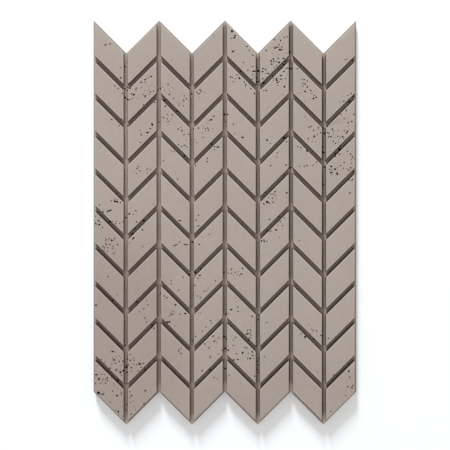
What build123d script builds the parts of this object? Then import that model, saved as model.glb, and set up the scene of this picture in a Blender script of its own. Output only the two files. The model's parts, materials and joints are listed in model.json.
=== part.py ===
"""Chevron relief wall panel, cast in concrete as one piece.

A thin slab with zigzag ends carries upright strips of slanted blocks. The joints between the
blocks are open grooves with leaning walls. The slab ends on the centre lines of the outermost
joints, so half a joint is left open all round and the pattern runs on into the next panel.

Frame: X across the panel, Y up the panel as it hangs, Z out of the wall. The origin lies on the
back face, in the middle of the panel. Sizes are in millimetres and angles in degrees.
"""

import os
from math import cos, radians, tan

from build123d import *

# Layout of the chevron
STRIPS = 8  # upright strips side by side
COURSES = 10  # blocks in each strip
STRIP_PITCH = 75.0  # from one upright joint to the next
COURSE_PITCH = 60.0  # from one slanted joint to the next, measured square across them
SLANT = 45.0  # slope of the slanted joints

# Section through the panel
SLAB_THICKNESS = 15.0  # from the back face to the floor of the joints
RELIEF_HEIGHT = 10.0  # from the floor of the joints to the face of the blocks
JOINT_MOUTH = 10.0  # width of every joint at the face, measured square across it
JOINT_DRAFT = 5.0  # lean of the joint walls, so that the casting leaves its mould
FACE_ARRIS = 1.0  # rounding round the face of each block
SLAB_ARRIS = 1.0  # rounding along the front edge of the slab

# What follows from the driving sizes
SLOPE = tan(radians(SLANT))
COURSE_RISE = COURSE_PITCH / cos(radians(SLANT))  # upright distance from block to block
ZIGZAG_DEPTH = STRIP_PITCH * SLOPE  # from a point of the zigzag to the notch beside it
STRIP_LENGTH = COURSES * COURSE_RISE
PANEL_WIDTH = STRIPS * STRIP_PITCH
PANEL_LENGTH = STRIP_LENGTH + ZIGZAG_DEPTH
JOINT_FLARE = RELIEF_HEIGHT * tan(radians(JOINT_DRAFT))  # how far a block's foot stands out


def strip_lean(strip):
    """Slope sign of a strip's slanted joints: strips fall and climb in turn, from the left."""
    return -1 if strip % 2 == 0 else 1


def zigzag(middle_height):
    """Points of one zigzag end from left to right, about the given middle height."""
    points = []
    for line in range(STRIPS + 1):
        across = line * STRIP_PITCH - PANEL_WIDTH / 2
        swing = -strip_lean(line) * ZIGZAG_DEPTH / 2
        points.append((across, middle_height + swing))
    return points


def slab():
    """The plate that carries the blocks, with its front edge rounded."""
    upper_end = zigzag(STRIP_LENGTH / 2)
    lower_end = zigzag(-STRIP_LENGTH / 2)
    outline = Polygon(*lower_end, *reversed(upper_end), align=None)
    plate = extrude(outline, SLAB_THICKNESS)
    front_edges = plate.faces().sort_by(Axis.Z)[-1].edges()
    return fillet(front_edges, SLAB_ARRIS)


def block(lean):
    """One block at the origin, standing on the joint floor, with leaning walls and a round arris."""
    half_width = (STRIP_PITCH - JOINT_MOUTH) / 2
    half_height = (COURSE_PITCH - JOINT_MOUTH) / 2 / cos(radians(SLANT))
    climb = lean * half_width * SLOPE
    face_outline = Polygon(
        (-half_width, -climb - half_height),
        (half_width, climb - half_height),
        (half_width, climb + half_height),
        (-half_width, -climb + half_height),
        align=None,
    )
    foot_outline = offset(face_outline, JOINT_FLARE, kind=Kind.INTERSECTION)
    body = extrude(foot_outline, RELIEF_HEIGHT, taper=JOINT_DRAFT)
    face_edges = body.faces().sort_by(Axis.Z)[-1].edges()
    return fillet(face_edges, FACE_ARRIS)


def relief():
    """All the blocks in place on the slab, strip by strip from the top."""
    patterns = {lean: block(lean) for lean in (-1, 1)}
    blocks = []
    for strip in range(STRIPS):
        across = (strip + 0.5) * STRIP_PITCH - PANEL_WIDTH / 2
        for course in range(COURSES):
            up = STRIP_LENGTH / 2 - (course + 0.5) * COURSE_RISE
            blocks.append(Pos(across, up, SLAB_THICKNESS) * patterns[strip_lean(strip)])
    return blocks


def concrete_panel():
    """The whole casting as one solid."""
    return slab().fuse(*relief()).clean()


panel = concrete_panel()
os.makedirs("parts", exist_ok=True)
export_step(panel, "parts/concrete_panel.step")
print(f"panel {PANEL_WIDTH:.1f} x {PANEL_LENGTH:.1f} x {SLAB_THICKNESS + RELIEF_HEIGHT:.1f} mm")
print(f"solids {len(panel.solids())}, volume {panel.volume / 1e6:.3f} litres")
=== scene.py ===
"""Chevron relief wall panel of cast concrete, finished for the camera.

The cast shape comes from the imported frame. This script opens the air holes of the casting in a copy of
that shape, gives it a concrete finish, and sets the floor, the lights and the camera. The panel lies on its
back: X runs across it, Y up it as it hangs, and Z out of the wall. Sizes of the casting are in millimetres,
and Blender's own lengths are in metres.
"""

from __future__ import annotations

import json
import logging
import random
from dataclasses import dataclass
from enum import Enum
from math import radians, sqrt

import bmesh
import bpy
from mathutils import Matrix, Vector

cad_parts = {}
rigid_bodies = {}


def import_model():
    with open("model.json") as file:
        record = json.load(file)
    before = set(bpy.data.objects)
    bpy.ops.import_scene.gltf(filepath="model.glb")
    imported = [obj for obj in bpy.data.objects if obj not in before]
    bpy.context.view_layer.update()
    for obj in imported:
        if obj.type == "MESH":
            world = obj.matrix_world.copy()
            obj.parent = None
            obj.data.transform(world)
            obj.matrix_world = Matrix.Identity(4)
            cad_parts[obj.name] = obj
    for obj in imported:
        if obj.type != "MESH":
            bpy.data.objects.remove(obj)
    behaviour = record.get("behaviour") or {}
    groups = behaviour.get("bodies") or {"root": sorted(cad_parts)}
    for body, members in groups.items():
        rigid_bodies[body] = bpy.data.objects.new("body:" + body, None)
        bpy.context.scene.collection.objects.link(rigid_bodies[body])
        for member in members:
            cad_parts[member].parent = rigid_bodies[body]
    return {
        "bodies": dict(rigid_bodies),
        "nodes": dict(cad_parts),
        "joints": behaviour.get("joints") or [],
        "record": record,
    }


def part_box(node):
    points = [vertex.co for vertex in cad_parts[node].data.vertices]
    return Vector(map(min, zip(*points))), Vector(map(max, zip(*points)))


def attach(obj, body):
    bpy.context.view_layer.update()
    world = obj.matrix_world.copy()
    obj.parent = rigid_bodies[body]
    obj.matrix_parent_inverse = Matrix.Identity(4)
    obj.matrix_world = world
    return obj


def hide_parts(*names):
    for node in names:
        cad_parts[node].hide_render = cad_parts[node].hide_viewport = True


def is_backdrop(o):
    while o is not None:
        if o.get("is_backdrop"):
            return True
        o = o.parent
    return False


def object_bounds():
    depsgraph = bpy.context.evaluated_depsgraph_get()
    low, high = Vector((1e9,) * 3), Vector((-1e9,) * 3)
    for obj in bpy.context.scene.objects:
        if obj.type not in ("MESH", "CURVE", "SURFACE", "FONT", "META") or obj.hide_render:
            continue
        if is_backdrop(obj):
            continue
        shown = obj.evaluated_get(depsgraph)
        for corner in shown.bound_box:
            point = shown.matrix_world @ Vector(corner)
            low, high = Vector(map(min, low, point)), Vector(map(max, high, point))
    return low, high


LOG = logging.getLogger("panel")
MM = 0.001
Spot = tuple[float, ...]
Pair = tuple[float, float]
Colour = tuple[float, float, float, float]
Socket = bpy.types.NodeSocket
TreeInputs = dict[str, tuple[str, object]]
WHITE: Colour = (1.0, 1.0, 1.0, 1.0)
HALF_TURN = 180.0
NOISE_MIDDLE = 0.5
# Share of a distance up the panel that lies square to a slanting joint
SQUARE_ON = sqrt(0.5)
# Places of the sockets of a Mix node for colours, and of a Random Value node for numbers
MIX_FACTOR, MIX_BASE, MIX_OVER, MIX_RESULT = 0, 6, 7, 2
RANDOM_LEAST, RANDOM_MOST, RANDOM_RESULT = 2, 3, 1


class HoleKind(Enum):
    """The ways in which an air hole opens in the face of the casting."""

    DEEP = "deep"
    OPEN = "open"
    SMALL = "small"
    SHALLOW = "shallow"
    FAINT = "faint"
    CHIP = "chip"


@dataclass(frozen=True)
class HoleForm:
    """Sizes of one kind of air hole, in millimetres.

    Attributes:
        width: How wide a round hole is at the surface.
        depth: How deep it goes.
        belly: Depth of the widest place, as a share of the hole's half height, and below 0 for a dish.
        lip: How many times wider than listed the rubbed mouth of a long hole is.
    """

    width: float
    depth: float
    belly: float
    lip: float

    def half_sizes(self, length: float, width: float, depth: float) -> tuple[float, float, float, float]:
        """Half axes of the lump that cuts a hole, and how far its middle lies under the surface.

        Args:
            length: Length of the hole's mouth.
            width: Width of the hole's mouth.
            depth: Depth of the hole.

        Returns:
            Half length, half width, half height and sink, in millimetres.
        """
        half_height = depth / (1 + self.belly)
        swell = 1 / sqrt(1 - self.belly**2)
        return length / 2 * swell, width / 2 * swell, half_height, self.belly * half_height


HOLE_FORMS: dict[HoleKind, HoleForm] = {
    HoleKind.DEEP: HoleForm(width=5.2, depth=6.0, belly=0.35, lip=1.24),
    HoleKind.OPEN: HoleForm(width=4.0, depth=4.2, belly=0.3, lip=1.28),
    HoleKind.SMALL: HoleForm(width=3.1, depth=2.8, belly=0.2, lip=1.26),
    HoleKind.SHALLOW: HoleForm(width=2.8, depth=1.6, belly=-0.1, lip=1.18),
    HoleKind.FAINT: HoleForm(width=2.0, depth=1.1, belly=0.0, lip=1.0),
    HoleKind.CHIP: HoleForm(width=4.8, depth=2.8, belly=0.1, lip=1.0),
}

# What a marker says of its hole, with Blender's name for the kind of value
HOLE_ATTRIBUTES: dict[str, str] = {
    "hole_size": "FLOAT_VECTOR",
    "hole_turn": "FLOAT",
    "hole_sink": "FLOAT",
    "hole_chip": "BOOLEAN",
    "hole_lump": "INT",
}

# Holes as they lie on the panel: across, up, and for a long one its length, width and turn in degrees
HOLE_SPOTS: dict[HoleKind, tuple[Spot, ...]] = {
    HoleKind.DEEP: (
        (16, 434), (125, 392, 5.2, 4.2, 0), (33, 327), (-176, 204, 5.4, 3.4, 5), (255, 110), (96, 46),
        (14, -198, 5.0, 3.4, 0), (-90, -207, 4.6, 3.2, 0), (182, -260), (-194, -321), (-228, 285),
        (147, 351, 5.4, 5.4, 0), (88, 319, 5.4, 4.4, 40), (284, 276, 5.4, 3.6, 20),
        (135, 193, 6.4, 4.6, 40), (224, 160), (262, 167, 7.4, 5.0, 35), (293, 116),
        (-1, 246, 4.6, 4.2, 40), (-262, 2, 5.6, 4.6, -30), (-211, -26, 5.6, 4.4, 0),
        (-55, -107, 4.6, 3.4, 40), (55, -268), (-225, -331, 6.4, 3.4, 15), (1, -334, 4.4, 3.6, 0),
        (-287, -387, 6.2, 5.4, 0), (-231, -337, 5.0, 4.2, 20), (148, 389), (106, 359, 4.0, 3.2, 0),
        (130, 352, 7.4, 3.4, 10), (-250, 48, 4.6, 4.0, 0), (-245, 47, 4.8, 4.0, -20),
    ),
    HoleKind.OPEN: (
        (-236, 328), (-202, 303, 4.4, 2.2, 45), (-190, 318, 4.2, 3.0, 0), (-181, 324, 5.4, 2.2, 30),
        (-167, 331), (-169, 296), (-181, 286), (-207, 290), (23, 424, 4.2, 3.0, -30), (21, 419),
        (50, 399), (66, 343, 8.4, 3.0, 5), (47, 313), (67, 292), (94, 299), (85, 342, 4.2, 3.2, 20),
        (105, 366), (123, 363), (133, 372), (117, 326), (135, 308), (180, 324, 4.2, 2.2, 0), (182, 297),
        (201, 281), (-165, 222, 5.8, 3.8, 120), (-31, 233), (-16, 171, 5.2, 3.0, 10),
        (40, 193, 5.2, 3.0, 0), (96, 187), (270, 275), (294, 246, 6.4, 2.2, 30), (203, 195), (189, 190),
        (241, 113, 5.2, 3.2, 0), (285, 124, 4.4, 2.2, 50), (289, 97, 4.6, 2.6, 25), (-266, 25),
        (-285, -5), (-257, -41, 4.0, 3.2, 0), (-113, -52, 9.2, 2.2, 20), (116, -17, 4.4, 3.2, 30),
        (140, 67, 4.6, 3.2, 50), (83, -42), (89, -42, 6.8, 2.4, 105), (-293, -188, 5.6, 3.0, 15),
        (-122, -209, 4.4, 2.4, 0), (-112, -187), (50, -253, 5.4, 3.0, 35), (-255, -293, 4.6, 3.2, 10),
        (-247, -336), (-286, -356, 4.8, 4.0, 70), (-245, -393, 4.4, 3.2, -20), (40, -296, 5.4, 3.0, 60),
        (58, -309), (281, -338), (288, -375, 4.4, 3.6, -40), (278, 206, 4.6, 2.4, 80),
        (-228, 356, 4.4, 2.4, 0), (-223, 309), (-228, 306), (-223, 302, 5.2, 2.4, -45), (-222, 281),
        (-147, 306), (72, 354), (76, 346, 5.2, 4.4, 0), (73, 329), (73, 321), (77, 322), (35, 345),
        (53, 319, 5.0, 3.2, -45), (152, 351), (138, 368), (135, 360), (291, 371),
        (293, 287, 5.2, 3.6, 45), (-71, 214), (6, 245), (-30, 179), (-93, 152), (225, 215, 7.4, 2.2, -48),
        (234, 203, 6.6, 2.2, -40), (227, 203, 5.0, 3.2, 90), (224, 172), (264, 175), (147, 125),
        (151, 125), (228, 126), (-185, 4), (-206, -14), (-74, -45), (92, 68), (97, -19, 5.2, 3.4, 40),
        (225, 86, 4.4, 2.4, 0), (122, 14), (-256, -178), (-201, -182, 5.2, 3.2, 0), (-166, -235),
        (-146, -161), (-3, -114), (-81, -119), (-68, -114), (3, -210, 5.6, 3.6, 110),
        (-2, -261, 5.2, 3.8, 0), (3, -266), (-228, -281), (-223, -313), (-224, -342), (-224, -327),
        (-173, -320), (-182, -336), (1, -288), (8, -290), (-34, -336), (71, -282), (-80, -287),
        (-224, -368), (204, -267), (-138, 278), (-109, 254), (74, -317), (-293, -346, 7.2, 3.2, 0),
        (-294, -366), (-242, -429), (-212, -393), (-222, -416), (-251, -312), (-183, -412), (-244, -360),
        (112, 415), (86, 326), (118, 322), (110, 333), (244, 211), (267, 195), (241, 127),
        (250, 121, 5.0, 3.2, -45), (252, 157), (-261, 27, 9.6, 2.6, 15), (-287, 4),
        (-295, -3, 5.0, 3.0, 60),
    ),
    HoleKind.SMALL: (
        (-129, 313, 4.2, 2.0, 90), (-126, 290), (-162, 298), (-181, 318), (18, 388, 5.0, 3.6, 30),
        (63, 379), (42, 363), (63, 354, 4.4, 2.0, 0), (28, 335), (13, 330), (44, 319), (59, 303),
        (92, 347, 5.4, 2.0, -50), (94, 390), (142, 422), (126, 413), (121, 372), (112, 352), (165, 349),
        (134, 343, 5.2, 2.0, 0), (177, 315), (182, 315), (177, 309), (187, 307), (195, 299, 3.6, 2.2, 10),
        (203, 288), (207, 284), (-250, 310), (-242, 304), (-76, 293), (-159, 272, 4.2, 2.0, 0),
        (-135, 264, 4.0, 2.6, 20), (-131, 245), (-119, 244), (-169, 213), (-190, 199), (-105, 177),
        (-115, 161), (-196, 127), (-199, 123, 3.2, 2.8, 0), (-201, 111), (-25, 241, 5.8, 1.8, 0),
        (-35, 232), (-60, 214), (-39, 214), (-37, 209), (-50, 193, 3.8, 2.0, 0), (-91, 175, 5.2, 1.8, 0),
        (-23, 172), (-40, 145), (-40, 138), (-67, 129), (19, 223), (104, 129), (275, 254), (271, 236),
        (288, 229), (280, 226), (196, 218), (192, 215), (212, 215), (201, 209), (240, 195, 4.2, 2.2, 0),
        (271, 208), (276, 203, 4.2, 2.6, 30), (246, 184), (140, 183), (165, 172), (259, 154), (285, 155),
        (289, 148), (287, 142), (119, 158), (230, 141), (208, 137), (139, 130), (186, 129, 3.6, 2.6, -30),
        (180, 127), (262, 129), (269, 123), (281, 118, 5.2, 2.0, 20), (-203, 26, 5.2, 2.0, -15),
        (-201, 1, 4.0, 2.8, 0), (-248, -3), (-239, -2), (-207, -35, 5.2, 2.8, 20), (-187, -17),
        (-103, 4, 6.0, 2.6, 0), (-270, -40, 5.0, 2.0, 60), (-250, -36), (-261, -50), (-277, -55),
        (-266, -58), (-65, 5), (-61, -8, 6.0, 2.0, 0), (-35, -27, 3.8, 1.8, 0), (-91, -50, 5.0, 2.4, -20),
        (-86, -51, 4.4, 2.4, 0), (-58, -50), (88, 42, 5.4, 2.0, -30), (99, 56), (101, 43),
        (109, 46, 4.4, 2.2, 45), (104, 64), (114, 70), (115, 61), (101, 7, 4.4, 2.0, -30),
        (284, 67, 4.4, 2.2, -55), (103, -20, 5.2, 2.0, 25), (-265, -123), (-175, -187), (-184, -196),
        (-181, -217), (-161, -240, 4.6, 2.4, 50), (-122, -132), (-122, -139), (-138, -167),
        (-132, -171, 5.2, 2.0, 40), (-102, -208), (-95, -124), (-57, -120, 6.0, 2.4, 15), (-68, -143),
        (-56, -171), (-47, -156), (15, -106), (15, -116), (37, -117, 4.4, 2.6, 40), (34, -121),
        (40, -105), (29, -193), (62, -213), (77, -211), (76, -222), (95, -227), (59, -256),
        (56, -262, 3.6, 2.8, 0), (-43, -238), (-51, -247), (-27, -258, 4.2, 2.8, 20), (-24, -270),
        (24, -261), (-67, -259), (-74, -270), (200, -245), (208, -247), (218, -257), (173, -253),
        (235, -263), (-240, -315), (-232, -315), (-248, -320), (-238, -339, 4.2, 3.0, 60), (-215, -313),
        (-208, -308), (-200, -323), (-197, -337), (-185, -320, 4.0, 2.0, 0), (-267, -353, 4.4, 3.0, 60),
        (-266, -360), (-277, -390, 6.0, 2.8, 20), (-255, -383), (-215, -409), (-181, -382, 4.6, 2.8, 50),
        (-213, -435, 4.6, 2.2, 40), (-46, -276), (-36, -285), (19, -279), (46, -284, 4.2, 2.2, 0),
        (63, -302, 3.8, 2.8, 0), (29, -311, 4.2, 2.8, 0), (52, -309), (-33, -306, 5.2, 2.2, 95),
        (-25, -352, 4.2, 2.0, -10), (-17, -355), (-52, -337), (67, -349), (62, -294, 5.2, 2.2, -40),
        (291, -370), (279, -373, 3.8, 2.6, 20), (-6, -290), (76, -311), (76, -326), (75, -336),
        (76, -342), (51, -246, 4.6, 2.0, 60), (57, -244, 4.2, 2.0, -20), (55, -252, 4.6, 2.0, 10),
        (59, -248, 3.4, 2.0, 80), (-105, -291, 6.0, 1.8, 90), (-56, 301, 4.6, 1.8, -40),
        (-54, 297, 4.2, 2.0, 80), (-58, 292, 4.4, 1.8, 20), (-236, -342), (-235, -347), (-285, -313),
        (110, 371), (99, 338, 5.0, 2.4, 15), (127, 333, 4.4, 3.0, 0), (138, 326), (130, 392), (86, 349),
        (141, 350, 6.0, 2.0, 0), (119, 317), (127, 325, 5.0, 2.0, 0), (149, 370), (251, 150), (295, 144),
        (-258, 49), (-237, 45), (-269, -50), (-254, -54), (-217, 19, 4.4, 3.4, 70),
    ),
    HoleKind.SHALLOW: (
        (-271, 403, 4.4, 3.8, 0), (-261, 405, 4.4, 3.0, -20), (-237, 351), (-233, 293, 4.0, 2.0, 0),
        (-218, 278, 6.8, 2.8, 0), (-210, 281), (-212, 292), (-189, 306), (-173, 329), (-186, 290),
        (-171, 291), (-116, 282), (-26, 425), (-25, 419), (14, 418), (55, 390), (52, 345), (63, 335),
        (17, 329), (24, 326), (19, 319), (62, 325), (88, 299), (-64, 296), (-92, 287), (-87, 281),
        (-94, 277), (135, 420), (123, 403), (115, 396, 8.8, 3.6, 20), (130, 399), (117, 365), (117, 356),
        (110, 321), (120, 311), (187, 321), (175, 324), (170, 293), (274, 370, 7.6, 1.6, 0), (286, 292),
        (279, 288), (-257, 233, 4.0, 2.8, 20), (-240, 220), (-222, 221), (-185, 267), (-140, 238),
        (-131, 235), (-128, 229, 5.0, 2.0, 10), (-192, 209), (-192, 181, 4.0, 2.2, 0), (-150, 229),
        (-106, 212, 4.8, 2.6, 0), (-98, 208), (-121, 162), (-140, 140, 5.0, 1.8, 35), (-176, 121),
        (-169, 120), (-193, 118), (-176, 112), (-107, 98), (-93, 276), (-94, 265), (-44, 213), (-44, 208),
        (-64, 182, 4.2, 1.6, 0), (-98, 172), (-87, 171), (-93, 199, 5.0, 2.0, 0), (-82, 200, 5.0, 2.0, 0),
        (-97, 209), (-24, 165), (22, 202, 4.0, 2.0, 0), (103, 179), (2, 230), (262, 273), (264, 245),
        (217, 204), (210, 199), (235, 194), (257, 208), (172, 170), (117, 148), (287, 134),
        (200, 129, 4.2, 1.6, 0), (169, 127), (243, 108), (-243, 52), (-285, 40), (-207, 18), (-162, 42),
        (-278, -12), (-209, -38, 4.0, 2.8, 30), (-217, -47), (-187, -55), (-103, -45), (-263, -37),
        (-273, -58), (-255, -60), (-267, -66), (-253, -71), (-274, -64), (-60, 16), (95, -43), (73, -36),
        (110, 64), (108, 55), (126, 2), (135, 10), (131, -7), (124, -34), (-244, -165), (-178, -176),
        (-194, -203), (-178, -226), (-105, -154), (-124, -204), (-118, -202), (-118, -207), (-68, -124),
        (-60, -127), (-22, -133, 5.0, 1.8, 40), (-41, -156), (-71, -165), (-63, -167), (8, -115),
        (24, -113), (31, -112), (28, -119), (25, -171), (31, -176), (8, -207), (30, -202), (-56, -206),
        (-33, -223, 6.0, 1.6, 15), (-30, -229), (-13, -261), (-17, -264), (19, -268), (-250, -294),
        (-255, -308), (-257, -322), (-235, -325), (-206, -313), (-215, -300), (-190, -329),
        (-213, -330, 4.6, 3.4, 90), (-213, -338), (-280, -311), (-272, -315), (-295, -337), (-280, -345),
        (-274, -345), (-278, -358), (-283, -366), (-271, -365), (-282, -390), (-235, -386), (-235, -391),
        (-247, -426), (-216, -384), (-216, -397), (-99, -298), (50, -285), (53, -297), (66, -309),
        (27, -299), (-14, -299), (90, -305, 5.0, 1.8, -20), (283, -351, 4.0, 2.0, 10), (274, -393),
        (-226, -428), (169, -41), (190, -232), (240, -429), (210, -340), (35, -367), (10, -347),
        (247, -346, 6.0, 2.0, 40), (-101, -286, 4.4, 1.8, 15), (-100, -297, 4.0, 1.8, -20),
        (-62, 293, 3.6, 2.0, 0), (-291, -4), (-283, 1), (-271, -358), (-289, -326), (-260, -408),
        (-232, -440), (-208, -406), (-206, -419), (-203, -425), (-245, -333), (-273, -320), (-276, -319),
        (121, 397), (111, 366), (94, 338), (110, 326), (123, 319), (256, 195), (247, 206), (246, 200),
        (262, 193), (269, 191), (251, 179), (278, 161), (295, 154), (271, 136), (256, 124), (238, 120),
        (244, 119), (277, 121), (282, 96, 5.0, 2.0, 0), (-250, 53), (-293, 14), (-254, 3), (-246, 2),
        (-231, 2), (-244, -50), (-226, 11, 6.0, 3.0, 0),
    ),
    HoleKind.CHIP: (
        (-218, 314), (-216, 305), (156, 204), (130, 192), (187, 162), (-278, 23), (-131, -227),
        (-126, -226), (-261, -331), (19, -313), (-236, 234),
    ),
}


@dataclass(frozen=True)
class HolePatch:
    """A part of the face where faint holes lie close together, in millimetres.

    Attributes:
        across: Middle of the patch across the panel.
        up: Middle of the patch up the panel.
        reach_across: How far it spreads to each side.
        reach_up: How far it spreads up and down.
        count: How many faint holes it has.
    """

    across: float
    up: float
    reach_across: float
    reach_up: float
    count: int

    def spots(self, draw: random.Random) -> list[Spot]:
        """Places for the holes of the patch, closer together towards its middle.

        Args:
            draw: The source of random numbers.

        Returns:
            One place for each hole.
        """
        return [
            (draw.gauss(self.across, self.reach_across / 2), draw.gauss(self.up, self.reach_up / 2))
            for _ in range(self.count)
        ]


HOLE_PATCHES: tuple[HolePatch, ...] = (
    HolePatch(-175, 300, 40, 28, 14),
    HolePatch(-115, 300, 30, 20, 8),
    HolePatch(45, 320, 35, 25, 8),
    HolePatch(120, 390, 25, 30, 8),
    HolePatch(120, 340, 25, 25, 8),
    HolePatch(-60, 290, 25, 15, 5),
    HolePatch(182, 305, 20, 25, 6),
    HolePatch(-115, 230, 30, 30, 8),
    HolePatch(-185, 120, 25, 15, 5),
    HolePatch(-45, 215, 25, 20, 6),
    HolePatch(-90, 185, 20, 20, 5),
    HolePatch(200, 205, 22, 20, 6),
    HolePatch(260, 205, 30, 35, 12),
    HolePatch(270, 135, 30, 30, 8),
    HolePatch(-262, -50, 25, 22, 10),
    HolePatch(-285, 0, 12, 20, 3),
    HolePatch(105, 55, 20, 20, 5),
    HolePatch(115, 0, 25, 20, 5),
    HolePatch(-125, -205, 25, 25, 6),
    HolePatch(-60, -140, 30, 30, 7),
    HolePatch(25, -115, 25, 15, 6),
    HolePatch(55, -255, 20, 20, 6),
    HolePatch(-20, -268, 25, 20, 6),
    HolePatch(-265, -350, 35, 30, 14),
    HolePatch(-205, -320, 25, 22, 8),
    HolePatch(-245, -315, 20, 20, 6),
    HolePatch(60, -300, 25, 20, 6),
    HolePatch(205, -250, 25, 20, 4),
    HolePatch(280, -370, 15, 25, 3),
    HolePatch(-240, -410, 35, 25, 5),
)


@dataclass
class NodeTree:
    """Short calls for building a node tree.

    Attributes:
        tree: The tree that the nodes go into.
    """

    tree: bpy.types.NodeTree

    def add(self, kind: str, **settings: object) -> bpy.types.Node:
        """Add a node and set its own properties.

        Args:
            kind: Blender's name for the node type.
            **settings: Properties of the node and their values.

        Returns:
            The new node.
        """
        node = self.tree.nodes.new(kind)
        for name, value in settings.items():
            setattr(node, name, value)
        return node

    def put(self, socket: Socket, value: object) -> None:
        """Set an input, or link it where the value is another node's output.

        Args:
            socket: The input.
            value: What goes into it.
        """
        if isinstance(value, Term):
            value = value.socket
        if isinstance(value, Socket):
            self.tree.links.new(value, socket)
        else:
            socket.default_value = value

    def feed(self, node: bpy.types.Node, **values: object) -> None:
        """Set or link a node's inputs, whose names have underscores here in place of spaces."""
        for name, value in values.items():
            self.put(node.inputs[name.replace("_", " ")], value)

    def math(self, operation: str, *values: object) -> Term:
        """Add a math node.

        Args:
            operation: Blender's name for the operation.
            *values: Its operands, as numbers or outputs of other nodes.

        Returns:
            The result.
        """
        node = self.add("ShaderNodeMath", operation=operation)
        for socket, value in zip(node.inputs, values):
            self.put(socket, value)
        return Term(self, node.outputs[0])

    def scale(self, vector: object, factor: object) -> Socket:
        """Multiply a vector or a colour by a number.

        Args:
            vector: The vector or colour, as a value or another node's output.
            factor: The number, as a value or another node's output.

        Returns:
            The output with the result.
        """
        node = self.add("ShaderNodeVectorMath", operation="SCALE")
        self.feed(node, Vector=vector, Scale=factor)
        return node.outputs[0]

    def length(self, vector: Socket) -> Term:
        """Measure a vector.

        Args:
            vector: Another node's output.

        Returns:
            The length.
        """
        node = self.add("ShaderNodeVectorMath", operation="LENGTH")
        self.feed(node, Vector=vector)
        return Term(self, node.outputs["Value"])

    def fade(
        self, value: Term | Socket, start: float, end: float, low: float = 0.0, high: float = 1.0
    ) -> Term:
        """Go smoothly from one number to another as a value goes from a start to an end.

        Args:
            value: The value that leads.
            start: Where the change starts.
            end: Where the change ends, above or below the start.
            low: The number at the start.
            high: The number at the end.

        Returns:
            The number.
        """
        node = self.add("ShaderNodeMapRange", interpolation_type="SMOOTHSTEP")
        self.feed(node, Value=value, From_Min=start, From_Max=end, To_Min=low, To_Max=high)
        return Term(self, node.outputs[0])

    def blend(self, way: str, share: object, base: object, over: object) -> Socket:
        """Blend one colour over another.

        Args:
            way: Blender's name for the way of blending.
            share: How much of the blend shows, as a number or an output.
            base: The colour underneath, as a value or an output.
            over: The colour on top, as a value or an output.

        Returns:
            The output with the blended colour.
        """
        node = self.add("ShaderNodeMix", data_type="RGBA", blend_type=way)
        for number, value in ((MIX_FACTOR, share), (MIX_BASE, base), (MIX_OVER, over)):
            self.put(node.inputs[number], value)
        return node.outputs[MIX_RESULT]

    def seen(self) -> Term:
        """Find out whether a ray comes from the camera, straight or by a reflection or through glass.

        Returns:
            1 for such a ray.
        """
        path = self.add("ShaderNodeLightPath").outputs
        mirrored = self.math("MAXIMUM", path["Is Glossy Ray"], path["Is Transmission Ray"])
        return self.math("MAXIMUM", path["Is Camera Ray"], mirrored)

    def show(self, output: str, shader: bpy.types.Node) -> None:
        """Send a shader to a new output node of the named kind."""
        self.feed(self.add(output), Surface=shader.outputs[0])


@dataclass(frozen=True)
class Term:
    """A number that a node tree works out. Sums with it add math nodes.

    Attributes:
        make: The tree.
        socket: The output with the number.
    """

    make: NodeTree
    socket: Socket

    def __add__(self, other: object) -> Term:
        """Add a number."""
        return self.make.math("ADD", self, other)

    def __sub__(self, other: object) -> Term:
        """Take a number off."""
        return self.make.math("SUBTRACT", self, other)

    def __rsub__(self, other: float) -> Term:
        """Take this number off a plain one."""
        return self.make.math("SUBTRACT", other, self)

    def __mul__(self, other: object) -> Term:
        """Multiply by a number."""
        return self.make.math("MULTIPLY", self, other)

    def __abs__(self) -> Term:
        """Leave out the sign."""
        return self.make.math("ABSOLUTE", self)


def clean_tree(owner: bpy.types.Material | bpy.types.World) -> NodeTree:
    """Empty the node tree of a material or a world.

    Args:
        owner: What the tree belongs to.

    Returns:
        The tree, ready to be built.
    """
    owner.use_nodes = True
    owner.node_tree.nodes.clear()
    return NodeTree(owner.node_tree)


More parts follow.
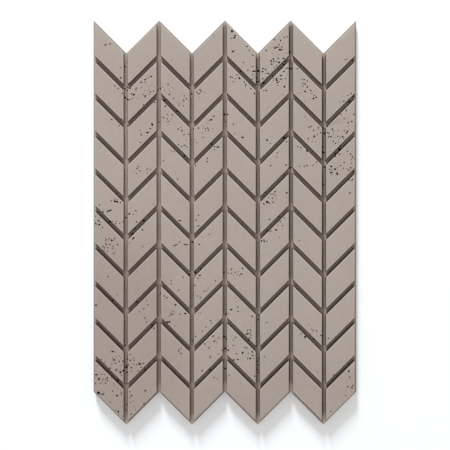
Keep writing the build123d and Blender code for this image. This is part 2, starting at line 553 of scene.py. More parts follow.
@dataclass
class AirHoles:
    """The air holes and pinholes that the casting shows, and the tree that opens them.

    Attributes:
        face_height: Height of the block faces above the back, in millimetres.
        seed: Start of the random numbers.
        width_spread: Least and largest width of a round hole, as shares of its kind's width.
        stretch: Least and largest length of a round hole, as shares of its width.
        depth_spread: Least and largest depth, as shares of the kind's depth.
        lumps: How many different lumps cut the holes.
        lump_scale: Bumps on a lump, to its radius.
        lump_step: How far apart in the noise two lumps are.
        lumpiness: How far a lump strays from a ball, as a share of its radius.
        chip_drop: How far under the face the middle of a chip in an arris lies, in millimetres.
        pinhole_spacing: Least distance between pinholes, in millimetres.
        pinhole_density: Pinholes on a square metre.
        pinhole_width: Width of the largest pinhole, in millimetres.
        pinhole_spread: Smallest and largest pinhole, as shares of that width.
        back_growth: How many times larger the pinholes of the back are.
        back_tilt: Faces whose normal has less than this in its height belong to the back.
        weld: Points of the cut that are closer than this are joined, in millimetres.
    """

    face_height: float
    seed: int = 11
    width_spread: Pair = (0.9, 1.2)
    stretch: Pair = (1.0, 1.4)
    depth_spread: Pair = (0.85, 1.15)
    lumps: int = 6
    lump_scale: float = 1.7
    lump_step: float = 3.7
    lumpiness: float = 1.8
    chip_drop: float = 0.4
    pinhole_spacing: float = 8.0
    pinhole_density: float = 1500.0
    pinhole_width: float = 1.0
    pinhole_spread: Pair = (0.4, 1.0)
    back_growth: float = 2.2
    back_tilt: float = -0.99
    weld: float = 0.005

    def markers(self) -> bpy.types.Object:
        """Make one point for each hole, with the sizes that its lump takes.

        Returns:
            An object whose vertices are the holes' places, above the panel.
        """
        draw = random.Random(self.seed)
        spots = {kind: list(places) for kind, places in HOLE_SPOTS.items()}
        spots[HoleKind.FAINT] = [spot for patch in HOLE_PATCHES for spot in patch.spots(draw)]
        places: list[tuple[float, float, float]] = []
        told: dict[str, list[float]] = {name: [] for name in HOLE_ATTRIBUTES}
        for kind, kind_spots in spots.items():
            form = HOLE_FORMS[kind]
            is_chip = kind is HoleKind.CHIP
            height = self.face_height - self.chip_drop if is_chip else 2 * self.face_height
            for spot in kind_spots:
                width = form.width * draw.uniform(*self.width_spread)
                length = width * draw.uniform(*self.stretch)
                turn = draw.uniform(0, HALF_TURN)
                if len(spot) > 2:
                    length, width, turn = spot[2] * form.lip, spot[3] * form.lip, spot[4]
                depth = form.depth * draw.uniform(*self.depth_spread)
                *half_axes, sink = form.half_sizes(length, width, depth)
                places.append((spot[0] * MM, spot[1] * MM, height * MM))
                told["hole_size"].extend(axis * MM for axis in half_axes)
                told["hole_turn"].append(radians(turn))
                told["hole_sink"].append(sink * MM)
                told["hole_chip"].append(is_chip)
                told["hole_lump"].append(draw.randrange(self.lumps))
        mesh = bpy.data.meshes.new("hole_markers")
        mesh.from_pydata(places, [], [])
        for name, kind_of in HOLE_ATTRIBUTES.items():
            attribute = mesh.attributes.new(name, kind_of, "POINT")
            attribute.data.foreach_set("vector" if kind_of == "FLOAT_VECTOR" else "value", told[name])
        markers = bpy.data.objects.new("hole_markers", mesh)
        bpy.context.scene.collection.objects.link(markers)
        LOG.info("%d air holes marked", len(places))
        return markers

    def inputs(self, markers: bpy.types.Object, concrete: bpy.types.Material) -> TreeInputs:
        """List the tree's named inputs, apart from the casting.

        Args:
            markers: The object whose vertices are the holes' places.
            concrete: The material of the result.

        Returns:
            For each input's name, Blender's name for its kind, and its value.
        """
        return {
            "Markers": ("NodeSocketObject", markers),
            "Lumpiness": ("NodeSocketFloat", self.lumpiness),
            "Pinhole Spacing": ("NodeSocketFloat", self.pinhole_spacing * MM),
            "Pinhole Density": ("NodeSocketFloat", self.pinhole_density),
            "Pinhole Width": ("NodeSocketFloat", self.pinhole_width * MM),
            "Back Growth": ("NodeSocketFloat", self.back_growth),
            "Weld": ("NodeSocketFloat", self.weld * MM),
            "Seed": ("NodeSocketInt", self.seed),
            "Concrete": ("NodeSocketMaterial", concrete),
        }

    def tree(self, inputs: TreeInputs) -> bpy.types.NodeTree:
        """Build the tree that cuts a lump out of the casting at each marker, and pinholes all over it.

        Args:
            inputs: The named inputs, apart from the casting.

        Returns:
            The tree.
        """
        group = bpy.data.node_groups.new("air_holes", "GeometryNodeTree")
        group.interface.new_socket("Casting", in_out="INPUT", socket_type="NodeSocketGeometry")
        for name, (kind, _) in inputs.items():
            group.interface.new_socket(name, in_out="INPUT", socket_type=kind)
        group.interface.new_socket("Casting", in_out="OUTPUT", socket_type="NodeSocketGeometry")
        make = NodeTree(group)
        given = make.add("NodeGroupInput").outputs
        cutters = make.add("GeometryNodeJoinGeometry")
        make.feed(cutters, Geometry=self._holes(make, given))
        make.feed(cutters, Geometry=self._pinholes(make, given))
        cut = make.add("GeometryNodeMeshBoolean", operation="DIFFERENCE", solver="MANIFOLD")
        make.feed(cut, Mesh_1=given["Casting"], Mesh_2=cutters.outputs["Geometry"])
        split = make.add("GeometryNodeTriangulate", quad_method="BEAUTY", ngon_method="CLIP")
        make.feed(split, Mesh=cut.outputs["Mesh"])
        joined = make.add("GeometryNodeMergeByDistance")
        make.feed(joined, Geometry=split.outputs["Mesh"], Distance=given["Weld"])
        near = make.add("GeometryNodeProximity", target_element="FACES")
        make.put(near.inputs[0], given["Casting"])
        keep = make.add("GeometryNodeStoreNamedAttribute", data_type="FLOAT", domain="POINT")
        make.feed(keep, Geometry=joined.outputs["Geometry"], Name="hole_depth",
                  Value=near.outputs["Distance"])
        realize = make.add("GeometryNodeRealizeInstances")
        make.feed(realize, Geometry=keep.outputs["Geometry"])
        dress = make.add("GeometryNodeSetMaterial")
        make.feed(dress, Geometry=realize.outputs["Geometry"], Material=given["Concrete"])
        make.feed(make.add("NodeGroupOutput"), Casting=dress.outputs["Geometry"])
        return group

    def _lump(self, make: NodeTree, given: bpy.types.bpy_prop_collection, number: int) -> Socket:
        """One rough ball of radius 1, as an instance.

        Args:
            make: The tree under construction.
            given: The tree's inputs.
            number: Which of the lumps it is.

        Returns:
            The output with the lump.
        """
        ball = make.add("GeometryNodeMeshIcoSphere")
        make.feed(ball, Radius=1.0, Subdivisions=2)
        rough = make.add("ShaderNodeTexNoise", noise_dimensions="4D")
        start = make.math("ADD", given["Seed"], number * self.lump_step)
        make.feed(rough, W=start, Scale=self.lump_scale, Detail=1.0)
        stray = (Term(make, rough.outputs[0]) - NOISE_MIDDLE) * given["Lumpiness"]
        move = make.add("GeometryNodeSetPosition")
        make.feed(move, Geometry=ball.outputs["Mesh"],
                  Offset=make.scale(make.add("GeometryNodeInputPosition").outputs[0], stray))
        wrap = make.add("GeometryNodeGeometryToInstance")
        make.put(wrap.inputs[0], move.outputs["Geometry"])
        return wrap.outputs[0]

    def _holes(self, make: NodeTree, given: bpy.types.bpy_prop_collection) -> Socket:
        """Lumps at the markers, brought down onto the casting and turned square to it.

        Args:
            make: The tree under construction.
            given: The tree's inputs.

        Returns:
            The output with the lumps.
        """
        info = make.add("GeometryNodeObjectInfo")
        make.feed(info, Object=given["Markers"])
        values = {}
        for name, kind in HOLE_ATTRIBUTES.items():
            node = make.add("GeometryNodeInputNamedAttribute", data_type=kind)
            make.feed(node, Name=name)
            values[name] = node.outputs["Attribute"]
        ray = make.add("GeometryNodeRaycast")
        make.feed(ray, Target_Geometry=given["Casting"], Ray_Direction=(0.0, 0.0, -1.0), Ray_Length=1.0)
        place = self._switch(make, values["hole_chip"], ray.outputs["Hit Position"],
                             make.add("GeometryNodeInputPosition").outputs[0])
        outward = self._switch(make, values["hole_chip"], ray.outputs["Hit Normal"], (0.0, 0.0, 1.0))
        inward = make.scale(outward, make.math("MULTIPLY", values["hole_sink"], -1.0))
        keep = make.add("GeometryNodeStoreNamedAttribute", data_type="FLOAT_VECTOR", domain="POINT")
        make.feed(keep, Geometry=info.outputs["Geometry"], Name="hole_out", Value=outward)
        land = make.add("GeometryNodeSetPosition")
        make.feed(land, Geometry=keep.outputs["Geometry"], Position=place, Offset=inward)
        out_now = make.add("GeometryNodeInputNamedAttribute", data_type="FLOAT_VECTOR")
        make.feed(out_now, Name="hole_out")
        angles = make.add("ShaderNodeCombineXYZ")
        make.feed(angles, Z=values["hole_turn"])
        spin = make.add("FunctionNodeEulerToRotation")
        make.feed(spin, Euler=angles.outputs[0])
        square = make.add("FunctionNodeAlignRotationToVector", axis="Z")
        make.feed(square, Rotation=spin.outputs[0], Vector=out_now.outputs["Attribute"])
        lumps = make.add("GeometryNodeJoinGeometry")
        for number in range(self.lumps):
            make.feed(lumps, Geometry=self._lump(make, given, number))
        put = make.add("GeometryNodeInstanceOnPoints")
        make.feed(put, Points=land.outputs["Geometry"], Instance=lumps.outputs["Geometry"],
                  Pick_Instance=True, Instance_Index=values["hole_lump"], Rotation=square.outputs[0],
                  Scale=values["hole_size"])
        return put.outputs["Instances"]

    def _pinholes(self, make: NodeTree, given: bpy.types.bpy_prop_collection) -> Socket:
        """Very small balls, spread over the casting, larger ones on its back.

        Args:
            make: The tree under construction.
            given: The tree's inputs.

        Returns:
            The output with the balls.
        """
        spread = make.add("GeometryNodeDistributePointsOnFaces", distribute_method="POISSON")
        make.feed(spread, Mesh=given["Casting"], Distance_Min=given["Pinhole Spacing"],
                  Density_Max=given["Pinhole Density"], Seed=given["Seed"])
        facing = make.add("ShaderNodeSeparateXYZ")
        make.feed(facing, Vector=spread.outputs["Normal"])
        on_back = make.math("LESS_THAN", facing.outputs["Z"], self.back_tilt)
        swell = on_back * make.math("SUBTRACT", given["Back Growth"], 1.0) + 1.0
        size = make.add("FunctionNodeRandomValue", data_type="FLOAT")
        make.feed(size, Seed=given["Seed"])
        for number, share in zip((RANDOM_LEAST, RANDOM_MOST), self.pinhole_spread):
            make.put(size.inputs[number], share)
        ball = make.add("GeometryNodeMeshIcoSphere")
        make.feed(ball, Radius=make.math("MULTIPLY", given["Pinhole Width"], 0.5), Subdivisions=1)
        put = make.add("GeometryNodeInstanceOnPoints")
        make.feed(put, Points=spread.outputs["Points"], Instance=ball.outputs["Mesh"],
                  Rotation=spread.outputs["Rotation"], Scale=swell * size.outputs[RANDOM_RESULT])
        return put.outputs["Instances"]

    def _switch(self, make: NodeTree, test: Socket, if_not: object, if_so: object) -> Socket:
        """Choose one of two vectors.

        Args:
            make: The tree under construction.
            test: The output that chooses.
            if_not: The vector for a false test.
            if_so: The vector for a true test.

        Returns:
            The output with the chosen vector.
        """
        node = make.add("GeometryNodeSwitch", input_type="VECTOR")
        make.feed(node, Switch=test, **{"False": if_not, "True": if_so})
        return node.outputs[0]

    def open_in(self, casting: bpy.types.Object, concrete: bpy.types.Material) -> bpy.types.Mesh:
        """Cut the holes out of a casting.

        Args:
            casting: The object to cut. It is left without modifiers.
            concrete: The material of the result.

        Returns:
            A plain mesh of the casting with its holes.
        """
        markers = self.markers()
        inputs = self.inputs(markers, concrete)
        group = self.tree(inputs)
        modifier = casting.modifiers.new("air_holes", "NODES")
        modifier.node_group = group
        for item in group.interface.items_tree:
            if item.in_out == "INPUT" and item.name in inputs:
                modifier[item.identifier] = inputs[item.name][1]
        graph = bpy.context.evaluated_depsgraph_get()
        mesh = bpy.data.meshes.new_from_object(casting.evaluated_get(graph), depsgraph=graph)
        casting.modifiers.remove(modifier)
        marker_mesh = markers.data
        bpy.data.objects.remove(markers)
        bpy.data.meshes.remove(marker_mesh)
        bpy.data.node_groups.remove(group)
        return mesh


@dataclass(frozen=True)
class ReliefPlan:
    """Sizes of the relief that the finish follows, in metres.

    Attributes:
        half_width: Half the panel's width.
        half_height: Half the panel's height, to its points.
        strip: Width of one strip, which is also how deep the notches are.
        rise: Distance from one slanting joint up to the next.
        face: Height of the block faces above the back.
    """

    half_width: float
    half_height: float
    strip: float
    rise: float
    face: float


@dataclass(frozen=True)
class ReliefPlace:
    """Numbers in a material that say where a point lies in the relief, in metres.

    Attributes:
        across: Place across the panel.
        up: Place up the panel.
        height: Height above the back, as a share of the faces' height.
        beside: Distance to the right of the nearest upright joint's middle.
        above: Distance above the nearest slanting joint's middle.
        from_head: Distance in from the zigzag at the head, square to it.
        from_foot: Distance in from the zigzag at the foot, square to it.
        from_sides: Distance in from the sides.
    """

    across: Term
    up: Term
    height: Term
    beside: Term
    above: Term
    from_head: Term
    from_foot: Term
    from_sides: Term


@dataclass(frozen=True)
class Stain:
    """A part of the panel where the concrete is warmer and darker, in metres.

    Attributes:
        across: Its middle across the panel.
        up: Its middle up the panel.
        reach_across: How far it spreads to each side.
        reach_up: How far it spreads up and down.
        strength: How much of the warmer tone shows in its middle.
    """

    across: float
    up: float
    reach_across: float
    reach_up: float
    strength: float


# Heights in the relief at which tones, painted light and painted shade start and end, as shares of the
# faces' height
FACE_BAND: Pair = (0.95, 0.965)
MOUTH_BAND: Pair = (0.97, 0.95)
SLAB_BAND: Pair = (0.5, 0.56)
FLOOR_STOPS: Pair = (0.58, 0.61)
SIDE_STOPS: Pair = (0.66, 0.945)
FLOOR_ONLY: Pair = (0.68, 0.62)
RIM_TOP: Pair = (0.99, 0.96)
RIM_BACK: Pair = (0.0, 0.03)

# Distances from the middle of a joint at which tones, painted light and painted shade start and end, in
# metres
EDGE_BAND: Pair = (0.0062, 0.0078)
CROWN_BAND: Pair = (0.0066, 0.0076)
ARRIS_BAND: Pair = (0.0056, 0.0062)
UPRIGHT_BAND: Pair = (0.004, 0.006)
LEDGE_BAND: Pair = (-0.0022, -0.0047)
LOWER_SIDE_BAND: Pair = (-0.0054, -0.0064)
CROSSING_BESIDE: Pair = (0.0085, 0.0055)
CROSSING_ABOVE: Pair = (0.011, 0.004)
CROSSING_SIDES: Pair = (0.0015, 0.0035)

# How far the middle of a crossing's painted light lies above the middle of its slanting joint, in metres
CROSSING_MIDDLE = 0.0015
# Place to the right of an upright joint's middle round which its painted light and shade lean, in metres
UPRIGHT_BALANCE = 0.0017

# Distances in from the outline at which tones, painted light and painted shade start and end, in metres
INNER_BAND: Pair = (0.009, 0.013)
HEAD_RIM: Pair = (0.005, 0.01)
FOOT_RIM: Pair = (0.009, 0.021)
SIDE_RIM: Pair = (0.0045, 0.006)

# Places on the panel between which the painted shade of the slanting joints and the painted light and shade
# of the upright joints change slowly, in metres
LEDGE_RISE: Pair = (-0.35, 0.35)
UPRIGHT_RISE: Pair = (-0.3, 0.3)
UPRIGHT_ACROSS: Pair = (-0.2, 0.2)


@dataclass(frozen=True)
class ConcreteFinish:
    """Fair-faced concrete: soft clouds and warm stains, sand in the skin, darker joints and air holes, with
    painted light and shade along the edges, in the joints and in the holes.

    Attributes:
        plan: Sizes of the relief.
        ground: The main tone.
        warm: What the main tone is multiplied by in a stain.
        joint: What the colour is multiplied by on the floor of a joint.
        joint_side_shade: Darker joint tone, deepened with painted shade: what the colour is multiplied by
            on the sides of a joint.
        rim: What the colour is multiplied by in the half joint round the outline.
        ledge_shade: Painted shade: what the tone is multiplied by in a slanting joint's lower corner, at
            the foot and the head.
        painted_side_shade: Painted shade: what the tone is multiplied by on such a joint's lower side.
        upright: Painted light and shade: what the tone is multiplied by in upright joints, at the lower
            left, upper left and right.
        upright_lean: Painted light and shade: how much the tone changes across an upright joint's floor, to
            the square metre.
        crossing: Painted light: what the tone is multiplied by in the middle of a crossing, and the tone at
            its sides.
        edge_highlight: Painted highlight: how much lighter the faces are along their edges.
        crown_highlight: Painted highlight: how much lighter still they are along their upper edges.
        low_arris_light: Painted light: what the colour is multiplied by on the arris along a block's lower
            edge.
        top_arris_shade: Painted shade: what the colour is multiplied by on the arris along a block's upper
            edge.
        right_arris_shade: Painted shade: what the colour is multiplied by on the arris along a block's
            right edge.
        hole: Dirt and painted shade: what the colour is multiplied by at the bottom of an air hole.
        hole_reach: Depth at which a hole has its full tone, in metres.
        roughness: Roughness of the skin.
        rough_spread: How far the roughness differs from grain to grain.
        specular: Strength of the skin's shine.
        cloud_scale: Clouds to the metre.
        cloud_share: How far the clouds change the tone.
        mottle_scale: Blotches to the metre.
        mottle_share: How far the blotches change the tone.
        sand_scale: Sand grains to the metre.
        sand_share: How far the sand changes the tone.
        bump_depth: Height of the sand in the skin, in metres.
        bump_mottle: Height of the blotches, as a share of the sand's.
        bump_strength: How strongly both show.
        stains: Where the concrete is warmer.
        stain_ragged: How far the clouds shift a stain's outline.
        stain_fade: Where a stain starts to fade and where it ends, as shares of its reach.
    """

    plan: ReliefPlan
    ground: Colour = (0.413, 0.361, 0.319, 1.0)
    warm: Colour = (0.922, 0.89, 0.895, 1.0)
    joint: Colour = (0.795, 0.745, 0.735, 1.0)
    joint_side_shade: Colour = (0.48, 0.43, 0.415, 1.0)
    rim: Colour = (0.92, 0.92, 0.92, 1.0)
    ledge_shade: Pair = (0.44, 0.27)
    painted_side_shade: float = 0.25
    upright: tuple[float, float, float] = (0.8, 1.03, 0.67)
    upright_lean: float = 500.0
    crossing: Pair = (1.1, 1.2)
    edge_highlight: float = 0.09
    crown_highlight: float = 0.24
    low_arris_light: float = 1.3
    top_arris_shade: float = 0.46
    right_arris_shade: float = 0.8
    hole: Colour = (0.12, 0.105, 0.1, 1.0)
    hole_reach: float = 0.0013
    roughness: float = 0.88
    rough_spread: float = 0.1
    specular: float = 0.25
    cloud_scale: float = 6.0
    cloud_share: float = 0.08
    mottle_scale: float = 95.0
    mottle_share: float = 0.13
    sand_scale: float = 560.0
    sand_share: float = 0.46
    bump_depth: float = 0.00018
    bump_mottle: float = 0.6
    bump_strength: float = 0.5
    stains: tuple[Stain, ...] = (
        Stain(-0.25, -0.27, 0.17, 0.26, 1.0),
        Stain(0.16, -0.42, 0.26, 0.11, 0.5),
        Stain(-0.16, 0.31, 0.13, 0.11, 0.25),
    )
    stain_ragged: float = 0.8
    stain_fade: Pair = (0.9, 1.6)

    def material(self) -> bpy.types.Material:
        """Build the concrete's material.

        Returns:
            The material.
        """
        material = bpy.data.materials.new("cast_concrete")
        make = clean_tree(material)
        place = make.add("ShaderNodeTexCoord").outputs["Object"]
        clouds = self._noise(make, place, self.cloud_scale, detail=3.0)
        mottle = self._noise(make, place, self.mottle_scale, detail=3.0)
        sand = self._noise(make, place, self.sand_scale, detail=2.0)
        stained = make.blend("MULTIPLY", self._stain(make, place, clouds), self.ground, self.warm)
        layers = ((clouds, self.cloud_share), (mottle, self.mottle_share), (sand, self.sand_share))
        grain: Term | float = 1.0
        for noise, share in layers:
            grain = (noise - NOISE_MIDDLE) * share + grain
        tones = ReliefTones(self, make, self._where(make, place))
        speckled = make.scale(stained, grain * tones.edges())
        toned_and_shaded = make.blend("MULTIPLY", 1.0, speckled, tones.joints())
        # Air holes darken towards their bottom, with dirt and painted shade
        depth = make.add("ShaderNodeAttribute", attribute_name="hole_depth", attribute_type="GEOMETRY")
        deep = make.fade(depth.outputs["Fac"], 0.0, self.hole_reach)
        bump = make.add("ShaderNodeBump")
        make.feed(bump, Strength=self.bump_strength, Distance=self.bump_depth,
                  Height=mottle * self.bump_mottle + sand)
        rough = (sand - NOISE_MIDDLE) * self.rough_spread + self.roughness
        skin = make.add("ShaderNodeBsdfPrincipled")
        make.feed(skin, Base_Color=make.blend("MULTIPLY", deep, toned_and_shaded, self.hole), Roughness=rough,
                  Specular_IOR_Level=self.specular, Normal=bump.outputs[0])
        make.show("ShaderNodeOutputMaterial", skin)
        return material

    def _stain(self, make: NodeTree, place: Socket, clouds: Term) -> Term:
        """How much of the warmer tone shows, from soft spots with a cloudy outline.

        Args:
            make: The tree under construction.
            place: The output with the coordinates.
            clouds: The cloud noise.

        Returns:
            The share of the warmer tone.
        """
        share: Term | float = 0.0
        for stain in self.stains:
            spot = make.add("ShaderNodeMapping", vector_type="TEXTURE")
            make.feed(spot, Vector=place, Location=(stain.across, stain.up, 0.0),
                      Scale=(stain.reach_across, stain.reach_up, 1.0))
            ragged = clouds * self.stain_ragged + make.length(spot.outputs[0])
            share = make.math("MAXIMUM", share, make.fade(ragged, *self.stain_fade, stain.strength, 0.0))
        return share

    def _where(self, make: NodeTree, place: Socket) -> ReliefPlace:
        """Work out where a point lies in the relief.

        Args:
            make: The tree under construction.
            place: The output with the coordinates.

        Returns:
            The numbers that say it.
        """
        plan = self.plan
        parts = make.add("ShaderNodeSeparateXYZ")
        make.feed(parts, Vector=place)
        across, up, out = (Term(make, socket) for socket in parts.outputs)
        zigzag = make.math("PINGPONG", across, plan.strip)
        from_top = plan.half_height - zigzag - up
        from_bottom = zigzag + (plan.half_height - plan.strip) + up
        return ReliefPlace(
            across=across,
            up=up,
            height=make.math("DIVIDE", out, plan.face),
            beside=make.math("WRAP", across, plan.strip / 2, -plan.strip / 2),
            above=make.math("WRAP", from_top * -1.0, plan.rise / 2, -plan.rise / 2),
            from_head=from_top * SQUARE_ON,
            from_foot=from_bottom * SQUARE_ON,
            from_sides=plan.half_width - abs(across),
        )

    def _noise(self, make: NodeTree, place: Socket, scale: float, detail: float) -> Term:
        """One noise texture on the object's own coordinates.

        Args:
            make: The tree under construction.
            place: The output with the coordinates.
            scale: Features to the metre.
            detail: How many finer layers it has.

        Returns:
            The noise.
        """
        node = make.add("ShaderNodeTexNoise", noise_dimensions="3D")
        make.feed(node, Vector=place, Scale=scale, Detail=detail)
        return Term(make, node.outputs[0])


@dataclass(frozen=True)
class ReliefTones:
    """The tones that follow the relief, worked out in a material: darker joints, with painted light and
    shade along the edges and in the joints.

    Attributes:
        finish: The concrete.
        make: The material's tree.
        where: The place in the relief.
    """

    finish: ConcreteFinish
    make: NodeTree
    where: ReliefPlace

    def edges(self) -> Term:
        """How much painted highlight, painted light and painted shade the blocks have along the edges of
        their faces and on their arrises.

        Returns:
            What the colour is multiplied by.
        """
        finish, make, where = self.finish, self.make, self.where
        from_slant = abs(where.above * SQUARE_ON)
        from_upright = abs(where.beside)
        below = make.math("LESS_THAN", where.above, 0.0)
        left = make.math("LESS_THAN", where.beside, 0.0)
        # Painted highlight along every edge of the faces, and a stronger one along their upper edges
        edge = make.fade(make.math("MINIMUM", from_upright, from_slant), *EDGE_BAND, finish.edge_highlight, 0.0)
        top_edge = make.fade(from_slant, *CROWN_BAND, finish.crown_highlight, 0.0) * below
        # Painted light on the arris along a block's lower edge, and painted shade on the arris along its
        # upper edge
        side = below * (finish.top_arris_shade - finish.low_arris_light) + (finish.low_arris_light - 1.0)
        slant_arris = make.fade(from_slant, *ARRIS_BAND, 1.0, 0.0) * side
        inner = make.fade(make.math("MINIMUM", where.from_head, where.from_foot), *INNER_BAND)
        # Painted shade on the arris along a block's right edge
        upright_arris = make.fade(from_upright, *ARRIS_BAND, 1.0, 0.0) * left * (finish.right_arris_shade - 1.0)
        change = edge + (top_edge + slant_arris) * inner + upright_arris
        return change * make.fade(where.height, *FACE_BAND) + 1.0

    def joints(self) -> Socket:
        """Tone of the joints, with painted light and shade in them, and of the half joint round the
        outline, and plain elsewhere.

        Returns:
            What the colour is multiplied by.
        """
        make, where = self.make, self.where
        off_centre = abs(where.beside)
        off_slant = abs(where.above - CROSSING_MIDDLE)
        meeting = make.fade(off_centre, *CROSSING_BESIDE) * make.fade(off_slant, *CROSSING_ABOVE)
        slanting = make.fade(off_centre, *UPRIGHT_BAND) * (1.0 - meeting)
        tone = self._slanting(slanting) * slanting + self._upright(meeting) * (1.0 - slanting)
        sunk = make.fade(where.height, *MOUTH_BAND) * make.fade(where.height, *SLAB_BAND)
        toned_and_shaded = make.scale(self._by_height(), (tone - 1.0) * sunk + 1.0)
        return make.blend("MIX", self._rim(), toned_and_shaded, self.finish.rim)

    def _by_height(self) -> Socket:
        """Tone of a joint's floor and sides, by the height alone, with painted shade deepening the sides.

        Returns:
            What the colour is multiplied by.
        """
        ramp = self.make.add("ShaderNodeValToRGB")
        self.make.feed(ramp, Fac=self.where.height)
        stops = ramp.color_ramp.elements
        stops[0].position = SLAB_BAND[0]
        stops[1].position = 1.0
        for stop in stops:
            stop.color = WHITE
        # The joint floor keeps a darker tone; its sides are darker still with painted shade
        for positions, colour in ((FLOOR_STOPS, self.finish.joint), (SIDE_STOPS, self.finish.joint_side_shade)):
            for position in positions:
                stops.new(position).color = colour
        stops.new(MOUTH_BAND[0]).color = WHITE
        return ramp.outputs[0]

    def _slanting(self, share: Term) -> Term:
        """Painted shade in the slanting joints, in their lower corner and on their lower side.

        Args:
            share: 1 in a slanting joint.

        Returns:
            What the tone by height is multiplied by.
        """
        finish, make, where = self.finish, self.make, self.where
        # Painted shade along the lower corner and the lower side of each slanting joint, darker towards the
        # head
        corner = make.fade(where.above, *LEDGE_BAND) * share
        lower_side = make.fade(where.above, *LOWER_SIDE_BAND) * share
        corner_shade = corner * (make.fade(where.up, *LEDGE_RISE, *finish.ledge_shade) - 1.0) + 1.0
        return corner_shade + lower_side * (finish.painted_side_shade - corner_shade)

    def _upright(self, meeting: Term) -> Term:
        """Painted light and shade in the upright joints, which change over the panel, and painted light at
        the crossings.

        Args:
            meeting: 1 where joints meet.

        Returns:
            What the tone by height is multiplied by.
        """
        finish, make, where = self.finish, self.make, self.where
        low_left, high_left, right = finish.upright
        # Painted light and shade: lighter at the upper left, darker at the right, and leaning across each
        # floor
        left = make.fade(where.up, *UPRIGHT_RISE, low_left - right, high_left - right)
        plain = make.fade(where.across, *UPRIGHT_ACROSS, 1.0, 0.0) * left + right
        lean = where.across * (where.beside - UPRIGHT_BALANCE) * finish.upright_lean
        leaning = plain * (lean * make.fade(where.height, *FLOOR_ONLY) + 1.0)
        # Painted light in the middle of each crossing and at its sides
        middle, sides = finish.crossing
        standing = leaning * (meeting * (middle - 1.0) + 1.0)
        aside = meeting * make.fade(abs(where.beside), *CROSSING_SIDES)
        return standing + aside * (sides - standing)

    def _rim(self) -> Term:
        """Find the half joint round the outline.

        Returns:
            1 in the half joint.
        """
        make, where = self.make, self.where
        head = make.fade(where.from_head, *HEAD_RIM, 1.0, 0.0)
        foot = make.fade(where.from_foot, *FOOT_RIM, 1.0, 0.0)
        sides = make.fade(where.from_sides, *SIDE_RIM, 1.0, 0.0)
        outer = make.math("MAXIMUM", make.math("MAXIMUM", head, foot), sides)
        return outer * make.fade(where.height, *RIM_TOP) * make.fade(where.height, *RIM_BACK)


@dataclass
class CastPanel:
    """The panel as it comes out of the mould.

    Attributes:
        node: The CAD node that it stands for.
        body: The body that it moves with.
        slot: The record's material slot; not used.
        strip: Width of one strip of blocks, in millimetres.
        course: Height of one course of blocks, square to its joints, in millimetres.
        joined_within: Points of the CAD mesh that are closer than this are joined, in millimetres.
        skin_depth: Depth under the casting's skin past which a point is in a hole, in millimetres.
        arris_normal: Least and largest height of a normal that belongs to an arris.
        crease: Angle past which an edge stays sharp, in degrees.
    """

    node: str = "concrete_panel"
    body: str = "root"
    slot: str = "concrete"
    strip: float = 75.0
    course: float = 60.0
    joined_within: float = 0.001
    skin_depth: float = 0.02
    arris_normal: Pair = (0.1, 0.9998)
    crease: float = 38.0

    def build(self, frame: dict) -> bpy.types.Object:
        """Make the panel with its air holes, name it cast_panel and attach it to its body.

        Returns:
            The finished piece.
        """
        casting = self._casting(frame["nodes"][self.node])
        lowest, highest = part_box(self.node)
        face = highest[2] - lowest[2]
        plan = ReliefPlan(half_width=highest[0], half_height=highest[1], strip=self.strip * MM,
                          rise=self.course * MM / SQUARE_ON, face=face)
        mesh = AirHoles(face_height=face / MM).open_in(casting, ConcreteFinish(plan).material())
        mesh.name = "cast_panel"
        self._shade(mesh)
        source = casting.data
        bpy.data.objects.remove(casting)
        bpy.data.meshes.remove(source)
        piece = bpy.data.objects.new("cast_panel", mesh)
        bpy.context.scene.collection.objects.link(piece)
        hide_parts(self.node)
        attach(piece, self.body)
        return piece

    def _casting(self, node: bpy.types.Object) -> bpy.types.Object:
        """Copy a CAD node's mesh and join its loose triangles.

        Args:
            node: The CAD node's object.

        Returns:
            A new object with the closed mesh.
        """
        mesh = node.data.copy()
        mesh.materials.clear()
        if "custom_normal" in mesh.attributes:
            mesh.attributes.remove(mesh.attributes["custom_normal"])
        work = bmesh.new()
        work.from_mesh(mesh)
        bmesh.ops.remove_doubles(work, verts=work.verts, dist=self.joined_within * MM)
        work.to_mesh(mesh)
        work.free()
        casting = bpy.data.objects.new("casting", mesh)
        bpy.context.scene.collection.objects.link(casting)
        return casting

    def _shade(self, mesh: bpy.types.Mesh) -> None:
        """Shade the arrises and the holes smooth, and leave the flat faces flat.

        Args:
            mesh: The panel's mesh.
        """
        depths = [0.0] * len(mesh.vertices)
        mesh.attributes["hole_depth"].data.foreach_get("value", depths)
        steepest, flattest = self.arris_normal
        for polygon in mesh.polygons:
            in_hole = max(depths[corner] for corner in polygon.vertices) > self.skin_depth * MM
            on_arris = steepest < polygon.normal.z < flattest
            polygon.use_smooth = in_hole or on_arris
        mesh.set_sharp_from_angle(angle=radians(self.crease))


@dataclass(frozen=True)
class FloorFinish:
    """Pale paint that comes out white for the camera and keeps the panel's shadow.

    Attributes:
        colour: Colour of the paint.
        roughness: Roughness of the paint.
        glow: What it adds where the camera sees it, near the panel and far away.
        glow_reach: How far from the panel's middle the glow starts to grow and is full, in metres.
    """

    colour: Colour = (0.915, 0.952, 0.978, 1.0)
    roughness: float = 0.9
    glow: Pair = (0.13, 1.0)
    glow_reach: Pair = (0.8, 3.0)

    def material(self) -> bpy.types.Material:
        """Build the floor's material.

        Returns:
            The material.
        """
        material = bpy.data.materials.new("pale_floor")
        make = clean_tree(material)
        away = make.length(make.add("ShaderNodeTexCoord").outputs["Object"])
        glow = make.seen() * make.fade(away, *self.glow_reach, *self.glow)
        paint = make.add("ShaderNodeBsdfPrincipled")
        make.feed(paint, Base_Color=self.colour, Roughness=self.roughness, Specular_IOR_Level=0.0,
                  Emission_Color=WHITE, Emission_Strength=glow)
        make.show("ShaderNodeOutputMaterial", paint)
        return material


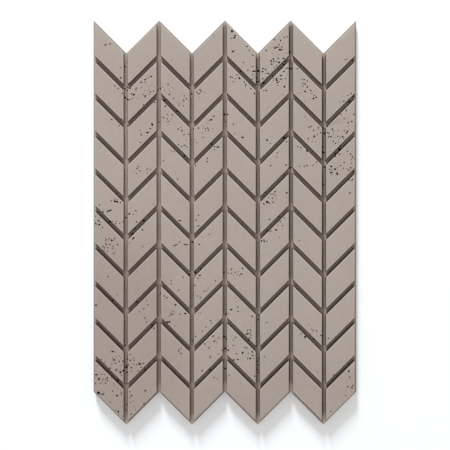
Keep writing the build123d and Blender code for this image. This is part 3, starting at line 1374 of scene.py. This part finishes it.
@dataclass(frozen=True)
class Softbox:
    """A flat lamp with a soft edge.

    Attributes:
        name: Its name.
        place: Where it stands, in metres.
        aim: What it points at, in metres.
        width: Its width, in metres.
        height: Its height, in metres.
        power: Its power, in watts.
        colour: Its colour.
    """

    name: str
    place: tuple[float, float, float]
    aim: tuple[float, float, float]
    width: float
    height: float
    power: float
    colour: tuple[float, float, float]

    def build(self) -> bpy.types.Object:
        """Set up the lamp.

        Returns:
            The lamp's object.
        """
        lamp = bpy.data.lights.new(self.name, "AREA")
        lamp.shape = "RECTANGLE"
        lamp.size = self.width
        lamp.size_y = self.height
        lamp.energy = self.power
        lamp.color = self.colour
        holder = bpy.data.objects.new(self.name, lamp)
        holder.location = self.place
        line = Vector(self.aim) - Vector(self.place)
        holder.rotation_euler = line.to_track_quat("-Z", "Y").to_euler()
        bpy.context.scene.collection.objects.link(holder)
        return holder


@dataclass(frozen=True)
class Studio:
    """The floor, the lamps and the camera.

    Attributes:
        face_height: Height of the block faces, in metres.
        floor_reach: Half width of the floor, in metres.
        floor_finish: The floor's paint.
        floor_drop: How far the floor lies under the panel's back, in metres.
        ambient: Strength of the light from all round.
        ambient_colour: Colour of the light from all round.
        lamps: The softboxes.
        camera_height: Height of the camera, in metres.
        camera_offset: Place of the camera across and up the panel, in metres.
        frame_width: Width of the picture at the height of the block faces, in metres.
        sensor_width: Width of the camera's sensor, in millimetres.
    """

    face_height: float
    floor_reach: float = 12.0
    floor_finish: FloorFinish = FloorFinish()
    floor_drop: float = 0.0002
    ambient: float = 0.57
    ambient_colour: Colour = (1.04, 0.997, 0.97, 1.0)
    lamps: tuple[Softbox, ...] = (
        Softbox(
            name="key",
            place=(-1.66, 9.1, 3.95),
            aim=(0.0, 0.0, 0.0),
            width=1.5,
            height=2.6,
            power=1095.0,
            colour=(0.96, 1.003, 1.03),
        ),
    )
    camera_height: float = 1.635
    camera_offset: Pair = (0.0002, -0.0059)
    frame_width: float = 1.0212
    sensor_width: float = 36.0

    def build(self) -> None:
        """Set up the whole studio."""
        self._floor()
        self._world()
        for lamp in self.lamps:
            lamp.build()
        self._camera()
        bpy.context.scene.view_settings.view_transform = "Standard"

    def _floor(self) -> None:
        """Lay the floor under the panel."""
        reach = self.floor_reach
        mesh = bpy.data.meshes.new("floor")
        corners = [(-reach, -reach), (reach, -reach), (reach, reach), (-reach, reach)]
        mesh.from_pydata([(*corner, -self.floor_drop) for corner in corners], [], [(0, 1, 2, 3)])
        floor = bpy.data.objects.new("floor", mesh)
        bpy.context.scene.collection.objects.link(floor)
        mesh.materials.append(self.floor_finish.material())
        floor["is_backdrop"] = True

    def _world(self) -> None:
        """Light the scene a little from all round, and show white beyond the floor."""
        world = bpy.data.worlds.new("studio")
        make = clean_tree(world)
        seen = make.seen()
        sky = make.add("ShaderNodeBackground")
        make.feed(sky, Color=make.blend("MIX", seen, self.ambient_colour, WHITE),
                  Strength=seen * (1.0 - self.ambient) + self.ambient)
        make.show("ShaderNodeOutputWorld", sky)
        bpy.context.scene.world = world

    def _camera(self) -> None:
        """Hang the camera over the panel, looking straight down."""
        data = bpy.data.cameras.new("camera")
        data.sensor_width = self.sensor_width
        data.lens = self.sensor_width * (self.camera_height - self.face_height) / self.frame_width
        camera = bpy.data.objects.new("camera", data)
        camera.location = (*self.camera_offset, self.camera_height)
        bpy.context.scene.collection.objects.link(camera)
        bpy.context.scene.camera = camera


def main() -> None:
    """Build the panel and the studio round it."""
    logging.basicConfig(level=logging.INFO, format="%(name)s: %(message)s")
    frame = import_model()
    cad_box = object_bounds()
    piece = CastPanel().build(frame)
    piece.data.calc_loop_triangles()
    LOG.info("%s has %d triangles", piece.name, len(piece.data.loop_triangles))
    Studio(face_height=cad_box[1][2]).build()


if __name__ == "__main__":
    main()
